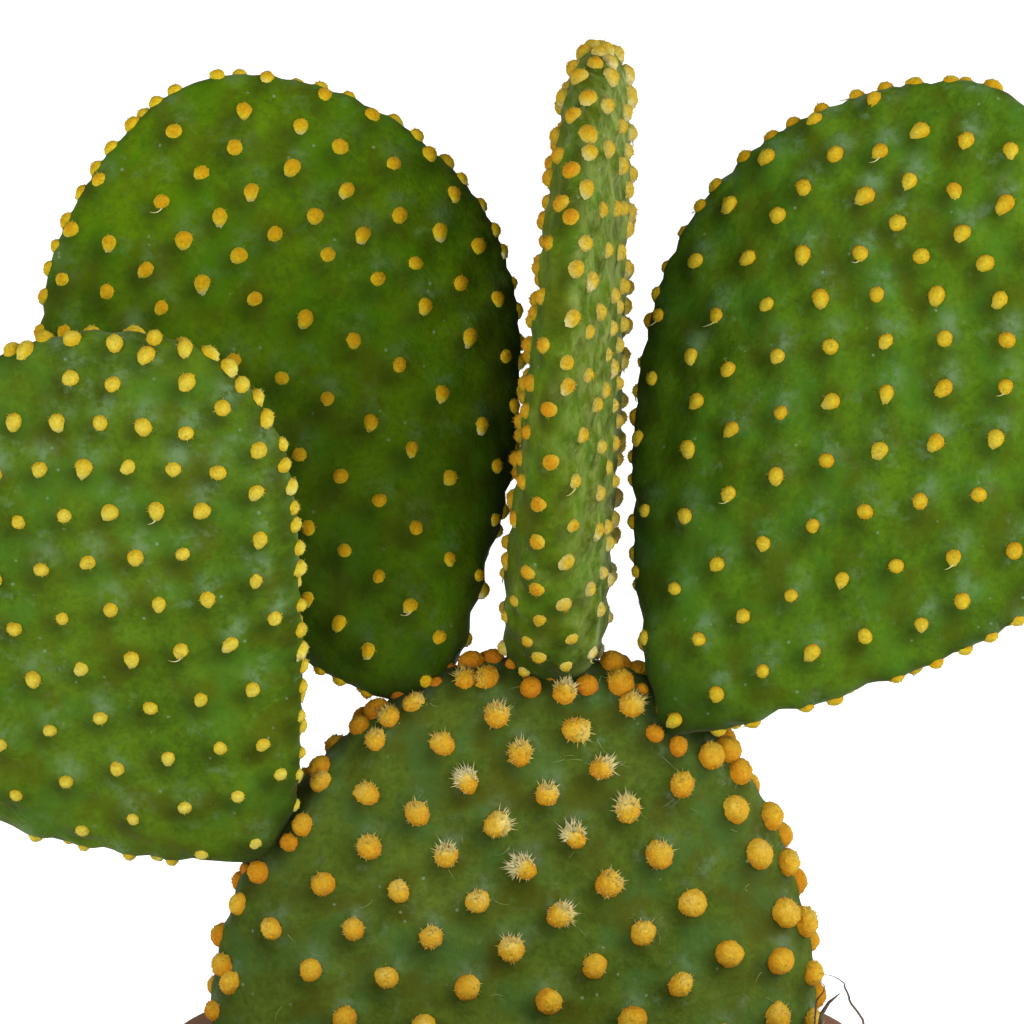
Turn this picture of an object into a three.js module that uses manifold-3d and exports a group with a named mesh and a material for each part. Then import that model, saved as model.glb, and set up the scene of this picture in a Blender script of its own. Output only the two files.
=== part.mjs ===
import * as THREE from "three";
import { mergeVertices } from "three/addons/utils/BufferGeometryUtils.js";
import Module from "manifold-3d";

const wasm = await Module();
wasm.setup();

// Sizes are in millimetres and angles in degrees. X runs right, Y away from the viewer and Z up.
// The origin is the centre of the pot's flat foot.

// Space left between pieces that touch
const GAP = 0.3;

// Pot
const POT_HEIGHT = 90;
const POT_FOOT_RADIUS = 35;
const POT_LIP_RADIUS = 51;
const POT_BAND_HEIGHT = 18;
const POT_BAND_STEP = 2.4;
const POT_WALL = 3;
const POT_FLOOR = 4.5;
const POT_LIP_ROUND = 1.1;
const POT_FOOT_ROUND = 1;
const POT_BAND_ROUND = [
  [1, 0.6],
  [0.4, 2],
];
const POT_SIDES = 32;
const DRAIN_COUNT = 4;
const DRAIN_RADIUS = 3.5;
const DRAIN_RING_RADIUS = 19;
const DRAIN_SIDES = 12;

// Soil
const SOIL_BELOW_LIP = 3.5;
const SOIL_TOP = POT_HEIGHT - SOIL_BELOW_LIP;
const SOIL_MOUND = 1.6;
const SOIL_RINGS = 4;
const SOIL_BUMP = 0.5;
const SOIL_BUMPS_ROUND = 7;
const SOIL_BUMP_TWIST = 5;
const SOCKET_DEPTH = 31;

// Pads. A pad grows from its joint along its own axis. The turn swings the tip to the right, the lean
// takes it away from the viewer and the roll spins the pad about its axis. Early and full shape the
// outline: early above 1 puts the widest place further up, and a small full gives a squarer shoulder.
// A larger ends keeps the pad thick further towards its joint and its tip, and slim thins it to the tip.
const PADS = {
  pad_base: {
    joint: [5.1, 0, 47.4],
    turn: -1,
    lean: 0,
    roll: 4,
    length: 99.1,
    width: 87.3,
    thick: 21,
    early: 0.91,
    full: 0.433,
    bend: -4.1,
    ends: 3.5,
    slim: 0.1,
  },
  pad_right: {
    joint: [21.3, -2.5, 134.9],
    turn: 27.9,
    lean: 3,
    roll: -14,
    length: 104.4,
    width: 74.9,
    thick: 14,
    early: 1.33,
    full: 0.664,
    bend: 6.2,
    ends: 3.5,
    slim: 0.15,
  },
  pad_back_left: {
    joint: [-11.9, 0, 137.9],
    turn: -20.4,
    lean: 8,
    roll: 8,
    length: 96.8,
    width: 68.5,
    thick: 14,
    early: 1.39,
    full: 0.593,
    bend: -1.3,
    ends: 3.5,
    slim: 0.15,
  },
  pad_front_left: {
    joint: [-34.9, -3.5, 117.7],
    turn: -29.9,
    lean: -14,
    roll: -12,
    length: 85.4,
    width: 90,
    thick: 14,
    early: 1.78,
    full: 0.428,
    bend: -10.1,
    ends: 3.5,
    slim: 0.15,
  },
  pad_middle: {
    joint: [5.2, 1, 141.3],
    turn: 4.5,
    lean: 1,
    roll: 84,
    length: 92.4,
    width: 60,
    thick: 12.5,
    early: 1.2,
    full: 0.5,
    bend: 1,
    ends: 8,
    slim: 0.43,
  },
};
const FACE_FLATNESS = 2.5;
const PAD_SIDES = 16;
const PAD_RINGS = 12;
const PAD_INSET = 0.02;

// Rows of tufts. On a face they stand on a grid that bends with the pad: a start, a step along the
// row, a step to the next row, and how both steps change further out, each as [across, along].
const FACE_ROWS = {
  pad_base: {
    start: [0.45, 80.38],
    step: [7.56, 3.69],
    next: [-3.82, 6.02],
    stepBend: [0.15, -0.24],
    twist: [0.13, -0.16],
    nextBend: [0.21, -0.25],
  },
  pad_right: {
    start: [-10.95, 44.19],
    step: [9.18, -2.39],
    next: [4.86, 5.37],
    stepBend: [-0.38, -0.45],
    twist: [0.24, 0.01],
    nextBend: [0.29, -0.13],
  },
  pad_back_left: {
    start: [12.57, 48.49],
    step: [-11.31, -0.73],
    next: [-6.64, -6.45],
    stepBend: [-0.07, -0.25],
    twist: [0.1, 0.12],
    nextBend: [-0.06, 0.23],
  },
  pad_front_left: {
    start: [17.53, 49.77],
    step: [-0.43, -7.53],
    next: [5.96, -2.8],
    stepBend: [-0.16, -0.05],
    twist: [0.23, 0.07],
    nextBend: [-0.16, -0.18],
  },
  pad_middle: {
    start: [0, 45],
    step: [7.6, 3.1],
    next: [-3.4, 7],
    stepBend: [0, -0.1],
    twist: [0, 0],
    nextBend: [0, 0],
  },
};
const MOST_STEPS = 16;
const FACE_FIRST = 0.03;
const FACE_LAST = 0.985;
const FACE_EDGE = 0.93;
const FOLD_LIMIT = 0.35;

// Round the rim the tufts take these angles in turn, a pitch apart along each row
const RIM_ROWS = {
  pad_base: { angles: [-28, 0, 28, 0], pitch: 8 },
  pad_right: { angles: [-24, 0, 24, 0], pitch: 9.6 },
  pad_back_left: { angles: [-24, 0, 24, 0], pitch: 9.6 },
  pad_front_left: { angles: [-26, 0, 26, 0], pitch: 9 },
  pad_middle: { angles: [-64, 32, -32, 64, 0], pitch: 6.8 },
};
const RIM_STEPS = 400;
const RIM_LAST = 0.996;

// Tufts: radius at the skin, height above it, the least distance between two on a face, and the
// distance from all others at which one fills a bare place
const TUFT = {
  pad_base: { radius: 2, height: 2.1, apart: 6, fill: 7.4 },
  pad_right: { radius: 1.15, height: 1.4, apart: 5.6, fill: 7 },
  pad_back_left: { radius: 1.15, height: 1.4, apart: 5.6, fill: 7 },
  pad_front_left: { radius: 1.15, height: 1.4, apart: 5.4, fill: 6.6 },
  pad_middle: { radius: 1.25, height: 1.4, apart: 4.6, fill: 6.6 },
};
const FILL_ALONG = 60;
const FILL_ACROSS = 24;
const RIM_APART = 2.6;
const TUFT_SIDES = 3;
const TUFT_ROOT = 0.9;
const TUFT_CLEAR = 0.5;
const TUFT_GUIDE = new THREE.Vector3(0.3, 0.2, 1);

const COLOURS = {
  pot: 0xa4603f,
  soil: 0x6b5243,
  pad_base: 0x4a5a26,
  pad_right: 0x4f701f,
  pad_back_left: 0x486419,
  pad_front_left: 0x58712a,
  pad_middle: 0x677d3a,
};

const ROUGHNESS = { pot: 0.8, soil: 1 };
const SKIN_ROUGHNESS = 0.65;

const radians = THREE.MathUtils.degToRad;

// The three directions of a pad: along its axis, across it and out of its front face
function directions(pad) {
  const turn = radians(pad.turn);
  const axis = new THREE.Vector3(Math.sin(turn), 0, Math.cos(turn));
  const across = new THREE.Vector3(Math.cos(turn), 0, -Math.sin(turn));
  across.applyAxisAngle(axis, radians(pad.roll));
  const tilt = new THREE.Vector3(1, 0, 0);
  axis.applyAxisAngle(tilt, -radians(pad.lean));
  across.applyAxisAngle(tilt, -radians(pad.lean));
  const out = new THREE.Vector3().crossVectors(axis, across).negate();
  return { axis, across, out };
}

// Half the width, half the thickness and the middle line of a pad, at a share t of its length
function halfWidth(pad, t) {
  const s = Math.min(Math.max(t, 1e-9), 1 - 1e-9);
  return (pad.width / 2) * Math.sin(Math.PI * s ** pad.early) ** pad.full;
}
function halfThickness(pad, t) {
  const end = Math.abs(2 * t - 1) ** pad.ends;
  return (pad.thick / 2) * (1 + pad.slim * (0.5 - t)) * Math.sqrt(Math.max(1 - end, 0));
}
function middleLine(pad, t) {
  return pad.bend * Math.sin(Math.PI * t);
}

// A point of a pad's skin, at a share t of its length and an angle round it, grown outwards by extra
function skinPoint(pad, t, angle, extra = 0) {
  const c = Math.cos(angle);
  const s = Math.sin(angle);
  const side = Math.sign(c) * Math.abs(c) ** (2 / FACE_FLATNESS);
  const { axis, across, out } = directions(pad);
  return new THREE.Vector3(...pad.joint)
    .addScaledVector(axis, t * pad.length + (2 * t - 1) * extra)
    .addScaledVector(across, middleLine(pad, t) + side * (halfWidth(pad, t) + extra))
    .addScaledVector(out, s * (halfThickness(pad, t) + extra));
}

// The outward direction of the skin there
function skinNormal(pad, t, angle) {
  const d = 1e-3;
  const along = skinPoint(pad, Math.min(t + d, 1), angle).sub(skinPoint(pad, Math.max(t - d, 0), angle));
  const round = skinPoint(pad, t, angle + d).sub(skinPoint(pad, t, angle - d));
  const n = new THREE.Vector3().crossVectors(round, along).normalize();
  const { axis, across } = directions(pad);
  const centre = new THREE.Vector3(...pad.joint)
    .addScaledVector(axis, t * pad.length)
    .addScaledVector(across, middleLine(pad, t));
  return n.dot(skinPoint(pad, t, angle).sub(centre)) < 0 ? n.negate() : n;
}

// Whether a point is within a distance of a pad
function isNear(pad, point, distance) {
  const { axis, across, out } = directions(pad);
  const from = point.clone().sub(new THREE.Vector3(...pad.joint));
  const t = from.dot(axis) / pad.length;
  if (t < -distance / pad.length || t > 1 + distance / pad.length) return false;
  const s = Math.min(Math.max(t, PAD_INSET), 1 - PAD_INSET);
  const side = Math.abs(from.dot(across) - middleLine(pad, s)) / (halfWidth(pad, s) + distance);
  const depth = Math.abs(from.dot(out)) / (halfThickness(pad, s) + distance);
  return side ** FACE_FLATNESS + depth ** 2 < 1;
}

// A closed solid from a list of triangles
function solid(points, faces) {
  const geometry = new THREE.BufferGeometry();
  const flat = faces.flatMap((face) => face.flatMap((i) => points[i].toArray()));
  geometry.setAttribute("position", new THREE.Float32BufferAttribute(flat, 3));
  return solidOf(geometry);
}
function solidOf(geometry) {
  const bare = new THREE.BufferGeometry();
  const source = geometry.index ? geometry.toNonIndexed() : geometry;
  bare.setAttribute("position", source.getAttribute("position"));
  const merged = mergeVertices(bare, 1e-4);
  return new wasm.Manifold(
    new wasm.Mesh({
      numProp: 3,
      vertProperties: merged.attributes.position.array,
      triVerts: new Uint32Array(merged.index.array),
    }),
  );
}

// The body of a pad: rings of points from the joint to the tip, closer together at both ends
function padBody(pad, extra = 0) {
  const { axis } = directions(pad);
  const points = [new THREE.Vector3(...pad.joint).addScaledVector(axis, -extra)];
  for (let ring = 1; ring < PAD_RINGS; ring++) {
    const t = (1 - Math.cos((Math.PI * ring) / PAD_RINGS)) / 2;
    for (let side = 0; side < PAD_SIDES; side++)
      points.push(skinPoint(pad, t, (2 * Math.PI * side) / PAD_SIDES, extra));
  }
  points.push(new THREE.Vector3(...pad.joint).addScaledVector(axis, pad.length + extra));
  const tip = points.length - 1;
  const at = (ring, side) => 1 + (ring - 1) * PAD_SIDES + (side % PAD_SIDES);
  const faces = [];
  for (let side = 0; side < PAD_SIDES; side++) {
    faces.push([0, at(1, side), at(1, side + 1)]);
    for (let ring = 1; ring < PAD_RINGS - 1; ring++) {
      const a = at(ring, side);
      const b = at(ring, side + 1);
      const c = at(ring + 1, side + 1);
      const d = at(ring + 1, side);
      faces.push([a, c, b], [a, d, c]);
    }
    faces.push([tip, at(PAD_RINGS - 1, side + 1), at(PAD_RINGS - 1, side)]);
  }
  return outward(points, faces);
}

// The same solid with its faces turned outwards
function outward(points, faces) {
  const made = solid(points, faces);
  if (made.volume() > 0) return made;
  return solid(
    points,
    faces.map(([a, b, c]) => [a, c, b]),
  );
}

// Where the tufts of a pad stand: rows round the rim first, then the grid on each face and its gaps
function tuftSpots(name) {
  const pad = PADS[name];
  const spots = [];
  const add = (t, angle, apart) => {
    const point = skinPoint(pad, t, angle);
    if (spots.some((spot) => spot.point.distanceTo(point) < apart)) return;
    spots.push({ point, normal: skinNormal(pad, t, angle) });
  };
  rimRows(name, pad, (t, angle) => add(t, angle, RIM_APART));
  faceGrid(name, pad, (t, angle) => add(t, angle, TUFT[name].apart));
  fillFaces((t, angle) => add(t, angle, TUFT[name].fill));
  return spots;
}

// Walks up one side of the rim, over the tip and down the other side
function rimRows(name, pad, add) {
  const { angles, pitch } = RIM_ROWS[name];
  let walked = 0;
  let placed = 0;
  let last = skinPoint(pad, 0, 0);
  for (let i = 1; i < 2 * RIM_STEPS; i++) {
    const up = i < RIM_STEPS;
    const t = up ? i / RIM_STEPS : (2 * RIM_STEPS - i) / RIM_STEPS;
    const here = skinPoint(pad, t, up ? 0 : Math.PI);
    walked += here.distanceTo(last);
    last = here;
    if (walked < (placed + 0.5) * (pitch / angles.length)) continue;
    const offset = radians(angles[placed % angles.length]);
    placed++;
    add(Math.min(t, RIM_LAST), up ? offset : Math.PI - offset);
  }
}

// The grid is laid on the front face and, turned over, on the back
function faceGrid(name, pad, add) {
  const rows = FACE_ROWS[name];
  for (const face of [1, -1])
    for (let i = -MOST_STEPS; i <= MOST_STEPS; i++)
      for (let j = -MOST_STEPS; j <= MOST_STEPS; j++) {
        const place = (k) =>
          rows.start[k] +
          i * rows.step[k] +
          j * rows.next[k] +
          i * i * rows.stepBend[k] +
          i * j * rows.twist[k] +
          j * j * rows.nextBend[k];
        if (isFolded(rows, i, j)) continue;
        const t = place(1) / pad.length;
        if (t < FACE_FIRST || t > FACE_LAST) continue;
        const side = (place(0) - middleLine(pad, t)) / halfWidth(pad, t);
        if (Math.abs(side) > FACE_EDGE) continue;
        add(t, face * faceAngle(side));
      }
}

// Far out the bent grid folds back over itself, and those places carry no tuft
function isFolded(rows, i, j) {
  const step = [0, 1].map((k) => rows.step[k] + 2 * i * rows.stepBend[k] + j * rows.twist[k]);
  const next = [0, 1].map((k) => rows.next[k] + i * rows.twist[k] + 2 * j * rows.nextBend[k]);
  const area = step[0] * next[1] - step[1] * next[0];
  const first = rows.step[0] * rows.next[1] - rows.step[1] * rows.next[0];
  return area / first < FOLD_LIMIT;
}

// The angle of a face's place at a signed share of the half width
function faceAngle(side) {
  return Math.acos(Math.sign(side) * Math.abs(side) ** (FACE_FLATNESS / 2));
}

// Offers places all over both faces, for where the grid leaves them bare
function fillFaces(add) {
  for (const face of [1, -1])
    for (let i = 1; i < FILL_ALONG; i++)
      for (let j = 0; j <= FILL_ACROSS; j++) {
        const side = FACE_EDGE * ((2 * j) / FILL_ACROSS - 1);
        add(i / FILL_ALONG, face * faceAngle(side));
      }
}

// One tuft: a short pointed cone with its root sunk in the skin
function tuft(spot, size, spin) {
  const side = TUFT_GUIDE.clone().cross(spot.normal).normalize();
  const up = new THREE.Vector3().crossVectors(spot.normal, side);
  const points = [spot.point.clone().addScaledVector(spot.normal, size.height)];
  const root = spot.point.clone().addScaledVector(spot.normal, -TUFT_ROOT);
  const rootRadius = (size.radius * (size.height + TUFT_ROOT)) / size.height;
  for (let k = 0; k < TUFT_SIDES; k++) {
    const a = spin + (2 * Math.PI * k) / TUFT_SIDES;
    points.push(
      root
        .clone()
        .addScaledVector(side, rootRadius * Math.cos(a))
        .addScaledVector(up, rootRadius * Math.sin(a)),
    );
  }
  const faces = [];
  for (let k = 1; k <= TUFT_SIDES; k++) faces.push([0, k, (k % TUFT_SIDES) + 1]);
  for (let k = 2; k < TUFT_SIDES; k++) faces.push([1, k + 1, k]);
  return outward(points, faces);
}

// A pad with all its tufts, kept clear of its neighbours
function padWithTufts(name, neighbours, lowest) {
  const pad = PADS[name];
  const size = TUFT[name];
  const tufts = tuftSpots(name)
    .filter((spot) => spot.point.z > lowest + size.radius)
    .filter((spot) => {
      const top = spot.point.clone().addScaledVector(spot.normal, size.height);
      const reach = size.radius + TUFT_CLEAR;
      const isClear = (other) => !isNear(other, spot.point, reach) && !isNear(other, top, reach);
      return neighbours.map((other) => PADS[other]).every(isClear);
    })
    .map((spot, k) => tuft(spot, size, k));
  return wasm.Manifold.union([padBody(pad), ...tufts]);
}

// The radius of the pot's inner wall at a height
function wallInside(z) {
  const share = (z - POT_FLOOR) / (POT_HEIGHT - POT_FLOOR);
  const foot = POT_FOOT_RADIUS - POT_WALL;
  const lip = POT_LIP_RADIUS - POT_BAND_STEP - POT_WALL;
  return foot + (lip - foot) * share;
}

// A tapered pot with a band below its lip and a ring of drainage holes in its floor
function pot() {
  const underBand = POT_LIP_RADIUS - POT_BAND_STEP;
  const outer = (z) => POT_FOOT_RADIUS + (underBand - POT_FOOT_RADIUS) * (z / POT_HEIGHT);
  const bandFoot = POT_HEIGHT - POT_BAND_HEIGHT;
  const inside = wallInside(POT_HEIGHT);
  const profile = [
    [0, 0],
    [POT_FOOT_RADIUS - POT_FOOT_ROUND, 0],
    [POT_FOOT_RADIUS, POT_FOOT_ROUND],
    [outer(bandFoot), bandFoot],
    ...POT_BAND_ROUND.map(([inwards, up]) => [POT_LIP_RADIUS - inwards, bandFoot + up]),
    [POT_LIP_RADIUS, POT_HEIGHT - POT_LIP_ROUND],
    [POT_LIP_RADIUS - POT_LIP_ROUND, POT_HEIGHT],
    [inside + POT_LIP_ROUND, POT_HEIGHT],
    [inside, POT_HEIGHT - POT_LIP_ROUND],
    [wallInside(POT_FLOOR), POT_FLOOR],
    [0, POT_FLOOR],
  ];
  let body = lathe(profile, POT_SIDES);
  for (let k = 0; k < DRAIN_COUNT; k++) {
    const a = (2 * Math.PI * (k + 0.5)) / DRAIN_COUNT;
    const drain = new THREE.CylinderGeometry(DRAIN_RADIUS, DRAIN_RADIUS, 3 * POT_FLOOR, DRAIN_SIDES);
    drain.rotateX(Math.PI / 2);
    drain.translate(DRAIN_RING_RADIUS * Math.cos(a), DRAIN_RING_RADIUS * Math.sin(a), 0);
    body = body.subtract(solidOf(drain));
  }
  return body;
}

// A solid of revolution about Z from [radius, height] pairs
function lathe(profile, sides) {
  const geometry = new THREE.LatheGeometry(
    profile.map(([r, z]) => new THREE.Vector2(r, z)),
    sides,
  );
  geometry.rotateX(Math.PI / 2);
  const made = solidOf(geometry);
  if (made.volume() > 0) return made;
  return solidOf(flipped(geometry));
}
function flipped(geometry) {
  const index = geometry.index.array;
  for (let i = 0; i < index.length; i += 3) [index[i + 1], index[i + 2]] = [index[i + 2], index[i + 1]];
  return geometry;
}

// The soil fills the pot and is a little mounded and uneven on top
function soil(socket) {
  const rim = wallInside(SOIL_TOP) - GAP;
  const profile = [
    [0, POT_FLOOR + GAP],
    [wallInside(POT_FLOOR + GAP) - GAP, POT_FLOOR + GAP],
  ];
  for (let k = SOIL_RINGS; k >= 0; k--) {
    const share = k / SOIL_RINGS;
    profile.push([rim * share, SOIL_TOP + SOIL_MOUND * (1 - share * share)]);
  }
  const geometry = new THREE.LatheGeometry(
    profile.map(([r, z]) => new THREE.Vector2(r, z)),
    POT_SIDES,
  );
  geometry.rotateX(Math.PI / 2);
  const spot = geometry.attributes.position;
  for (let i = 0; i < spot.count; i++) {
    const share = Math.hypot(spot.getX(i), spot.getY(i)) / rim;
    if (spot.getZ(i) < SOIL_TOP - 1 || share > 0.99 || share < 0.01) continue;
    const angle = Math.atan2(spot.getY(i), spot.getX(i));
    spot.setZ(i, spot.getZ(i) + SOIL_BUMP * Math.sin(SOIL_BUMPS_ROUND * angle + SOIL_BUMP_TWIST * share));
  }
  let made = solidOf(geometry);
  if (made.volume() < 0) made = solidOf(flipped(geometry));
  return made.subtract(socket);
}

// Everything below a height
function below(z) {
  const size = 400;
  const block = new THREE.BoxGeometry(size, size, size);
  block.translate(0, 0, z - size / 2);
  return solidOf(block);
}

// A named mesh from a solid
function mesh(name, body) {
  const made = body.getMesh();
  const geometry = new THREE.BufferGeometry();
  geometry.setAttribute("position", new THREE.BufferAttribute(new Float32Array(made.vertProperties), 3));
  geometry.setIndex(new THREE.BufferAttribute(new Uint32Array(made.triVerts), 1));
  const material = new THREE.MeshStandardMaterial({
    color: COLOURS[name],
    roughness: ROUGHNESS[name] ?? SKIN_ROUGHNESS,
    metalness: 0,
  });
  const result = new THREE.Mesh(geometry, material);
  result.name = name;
  console.log(name, made.triVerts.length / 3, "triangles");
  return result;
}

// The lowest pad stands in a socket in the soil, and the others stop just short of its skin
const baseWithRoom = padBody(PADS.pad_base, GAP);
const socketFoot = SOIL_TOP - SOCKET_DEPTH;
const socket = baseWithRoom.subtract(below(socketFoot - GAP));
const upper = ["pad_right", "pad_back_left", "pad_front_left", "pad_middle"];
const soilHighest = SOIL_TOP + SOIL_MOUND + SOIL_BUMP;

const bodies = {
  pot: pot(),
  soil: soil(socket),
  pad_base: padWithTufts("pad_base", upper, soilHighest).subtract(below(socketFoot)),
};
for (const name of upper) {
  const others = ["pad_base", ...upper.filter((other) => other !== name)];
  bodies[name] = padWithTufts(name, others, 0).subtract(baseWithRoom);
}

const cactus = new THREE.Group();
for (const [name, body] of Object.entries(bodies)) cactus.add(mesh(name, body));

export default cactus;
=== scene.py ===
"""The potted paddle cactus: finer pads, tufts, bristles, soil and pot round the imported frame."""

from math import acos, copysign, cos, exp, pi, radians, sin, sqrt

import bpy
import numpy as np
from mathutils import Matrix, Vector, noise
from mathutils.kdtree import KDTree


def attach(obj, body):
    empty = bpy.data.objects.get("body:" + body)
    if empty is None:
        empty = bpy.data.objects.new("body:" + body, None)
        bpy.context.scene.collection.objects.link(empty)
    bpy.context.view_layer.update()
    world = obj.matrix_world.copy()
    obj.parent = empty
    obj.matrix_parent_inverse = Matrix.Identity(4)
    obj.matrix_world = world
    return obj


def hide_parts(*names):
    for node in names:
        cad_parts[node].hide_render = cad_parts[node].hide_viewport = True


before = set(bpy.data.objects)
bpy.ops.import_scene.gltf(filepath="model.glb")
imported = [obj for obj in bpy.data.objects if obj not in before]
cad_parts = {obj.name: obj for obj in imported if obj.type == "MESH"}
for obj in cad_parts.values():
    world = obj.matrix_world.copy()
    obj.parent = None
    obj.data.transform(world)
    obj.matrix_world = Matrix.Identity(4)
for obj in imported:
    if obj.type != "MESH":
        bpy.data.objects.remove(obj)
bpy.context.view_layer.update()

# Sizes are in millimetres and angles in degrees, as in the part's own source, until a mesh is made
MM = 0.001

# Every use of random numbers has its own seed, and the two steps give each pad its own
SEED = 11
RIM_SEED = SEED + 17
BARE_SEED = SEED + 19
JOINT_SEED = SEED + 31
HAIR_SEED = SEED + 3
CRUMB_SEED = SEED + 5
FIBRE_SEED = SEED + 9
BLOOM_SEED_STEP = 21
YOUNG_SEED_STEP = 7
SOIL_SEED = 50
WHEEL_SEED = 40

# The pads, as in the part's source but for the middle one, which is slimmer above and blunter here.
# A pad grows from its joint along its own axis. The turn swings the tip to the right, the lean takes
# it away from the viewer and the roll spins the pad about its axis. Early and full shape the outline,
# the bend bows it sideways, a larger ends keeps it thick further out and slim thins it to the tip.
PADS = {
    "pad_base": dict(
        joint=(5.1, 0, 47.4), turn=-1, lean=0, roll=4, length=99.1, width=87.3,
        thick=21, early=0.91, full=0.433, bend=-4.1, ends=3.5, slim=0.1,
    ),
    "pad_right": dict(
        joint=(21.3, -2.5, 134.9), turn=27.9, lean=3, roll=-14, length=104.4, width=74.9,
        thick=14, early=1.33, full=0.664, bend=6.2, ends=3.5, slim=0.15,
    ),
    "pad_back_left": dict(
        joint=(-11.9, 0, 137.9), turn=-20.4, lean=8, roll=8, length=96.8, width=68.5,
        thick=14, early=1.39, full=0.593, bend=-1.3, ends=3.5, slim=0.15,
    ),
    "pad_front_left": dict(
        joint=(-34.9, -3.5, 117.7), turn=-29.9, lean=-14, roll=-12, length=85.4, width=90,
        thick=14, early=1.78, full=0.428, bend=-10.1, ends=3.5, slim=0.15,
    ),
    "pad_middle": dict(
        joint=(5.2, 1, 141.3), turn=4.5, lean=1, roll=84, length=92.4, width=60,
        thick=12, early=1.2, full=0.5, bend=1, ends=12, slim=0.6,
    ),
}
PAD_NUMBERS = {name: number for number, name in enumerate(PADS)}


def for_pads(*values):
    """A value for each pad, in the order above."""
    return dict(zip(PADS, values))


# How square a pad's section is, the step its normals are measured over, and a length as good as none
FACE_FLATNESS = 2.5
NORMAL_STEP = 1e-3
TINY = 1e-9

# Rows of tufts on a face: start, step, next row, and how the steps change, each as (across, along)
FACE_ROWS = for_pads(
    ((0.45, 80.38), (7.56, 3.69), (-3.82, 6.02), (0.15, -0.24), (0.13, -0.16), (0.21, -0.25)),
    ((-10.95, 44.19), (9.18, -2.39), (4.86, 5.37), (-0.38, -0.45), (0.24, 0.01), (0.29, -0.13)),
    ((12.57, 48.49), (-11.31, -0.73), (-6.64, -6.45), (-0.07, -0.25), (0.1, 0.12), (-0.06, 0.23)),
    ((17.53, 49.77), (-0.43, -7.53), (5.96, -2.8), (-0.16, -0.05), (0.23, 0.07), (-0.16, -0.18)),
    ((0, 45), (6.1, 2.5), (-2.7, 5.7), (0, -0.08), (0, 0), (0, 0)),
)

# How many steps are tried each way, where on the face they end, how small a grid cell may get beside
# the first, and the least distance between a face's tufts
MOST_STEPS = 16
FACE_FIRST = 0.03
FACE_LAST = 0.985
FACE_EDGE = 0.93
FOLD_LIMIT = 0.35
APART = for_pads(6, 5.4, 4.6, 5.2, 4)

# Bare places between the rows get a tuft where it stands this far from all others
FILL_APART = for_pads(7.4, 6.0, 5.75, 5.7, 5.2)
FILL_ALONG = 60
FILL_ACROSS = 24

# Rows of tufts round the rim: the angles they take in turn, and the pitch along each row
RIM_ROWS = for_pads(
    ((-30, 12, 30, -12), 8),
    ((-24, 0, 24, 0), 9.2),
    ((-24, 0, 24, 0), 8.2),
    ((-26, 0, 26, 0), 6.6),
    ((-64, 32, -32, 64, 0), 6.8),
)
RIM_STEPS = 400
RIM_LAST = 0.996
RIM_APART = 2.2
RIM_STRAY = 0.8
RIM_SPREAD = (0.8, 1.1)
RIM_SWAY = for_pads(6, 6, 6, 6, 15)

# Where an upper pad's rim faces down more than this, this share of its places goes bare
BARE_BELOW = -0.25
BARE_SHARE = 0.55

# The tufts' radius, and the shares of it tried where a neighbour is close
TUFT_RADIUS = for_pads(1.95, 1.12, 1.1, 1.1, 1.15)
TUFT_LIFT = 0.05
TUFT_SIZES = (1.0, 0.85, 0.7)
TUFT_CLEAR = 0.1

# Tufts crowded round the joints: where to look, their distance to the upper pad and to each other.
# On the faces, where a normal points this much at the viewer or away, they stay nearer to that pad.
JOINT_FIRST = 0.7
JOINT_STEPS = 60
JOINT_TURNS = 150
JOINT_LOWEST = 114
JOINT_NEAR = 1.2
JOINT_FAR = 4.4
JOINT_FACE = 0.75
JOINT_FACE_FAR = 2.2
JOINT_APART = 3.1
JOINT_SHARE = 0.9
JOINT_GAP = 0.1

# The skin's mesh, its mounds under the tufts and hollows between them, and (height, size) of its lumps
SKIN_SIDES = 264
SKIN_RINGS = 112
SOCKET_FOOT = 55.6
MOUND_HEIGHT = for_pads(0.5, 0.5, 0.5, 0.5, 0.4)
MOUND_RADIUS = for_pads(3.4, 2.5, 2.5, 2.4, 2.0)
HOLLOW_DEPTH = 0.8
HOLLOW_RADIUS = 4.2
SKIN_LUMPS = ((0.35, 11), (0.1, 2.6))
FOOT_FADE = 0.06
TIP_FADE = 0.01

# Marks on the skin, each shifted (right, down) from a tuft: a painted highlight with bloom above most
# tufts, on the lit upper right of the mound, and a painted shadow below each, at its lower left
CROWN_SHIFT = (0.6, -2.0)
CROWN_RADIUS = 1.7
HIGHLIGHT_BLOOM_SHARE = 0.6
FOOT_SHIFT = (-1.3, 1.5)
FOOT_RADIUS = 2.1

# The middle pad's bloom and painted highlight: a share of the others', with painted light added on its
# sunny side and towards its tip
MIDDLE_CROWN = 0.5
SUNNY_SIDE_PAINTED_LIGHT = 0.75
TIP_PAINTED_LIGHT = 0.45
TIP_START = 0.75

# How far the painted shade beside another pad reaches, and further between the first pad here and the
# second
SHADE_REACH = for_pads(2.5, 9, 7, 5, 8)
CREVICE = ("pad_back_left", "pad_front_left")
CREVICE_REACH = 18

# Painted shade, where a pad's skin darkens as less light falls on it: the way towards it, where it starts,
# over what length, and how much
PAINTED_SHADE_SLOPES = {"pad_base": ((-1, 0, 0), 26, 18, 0.42), "pad_right": ((0, 0, -1), -185, 35, 0.14)}

# A tuft's body: a dome that reaches this many degrees down from its top, of so many sides and rings
DOME_REACH = 104
YOUNG_DOME = (14, 6)
OLD_DOME = (22, 9)
DOME_HEIGHT = (0.92, 1.04)
DOME_OVAL = 0.05
TONE_GRAIN = 0.05

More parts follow.
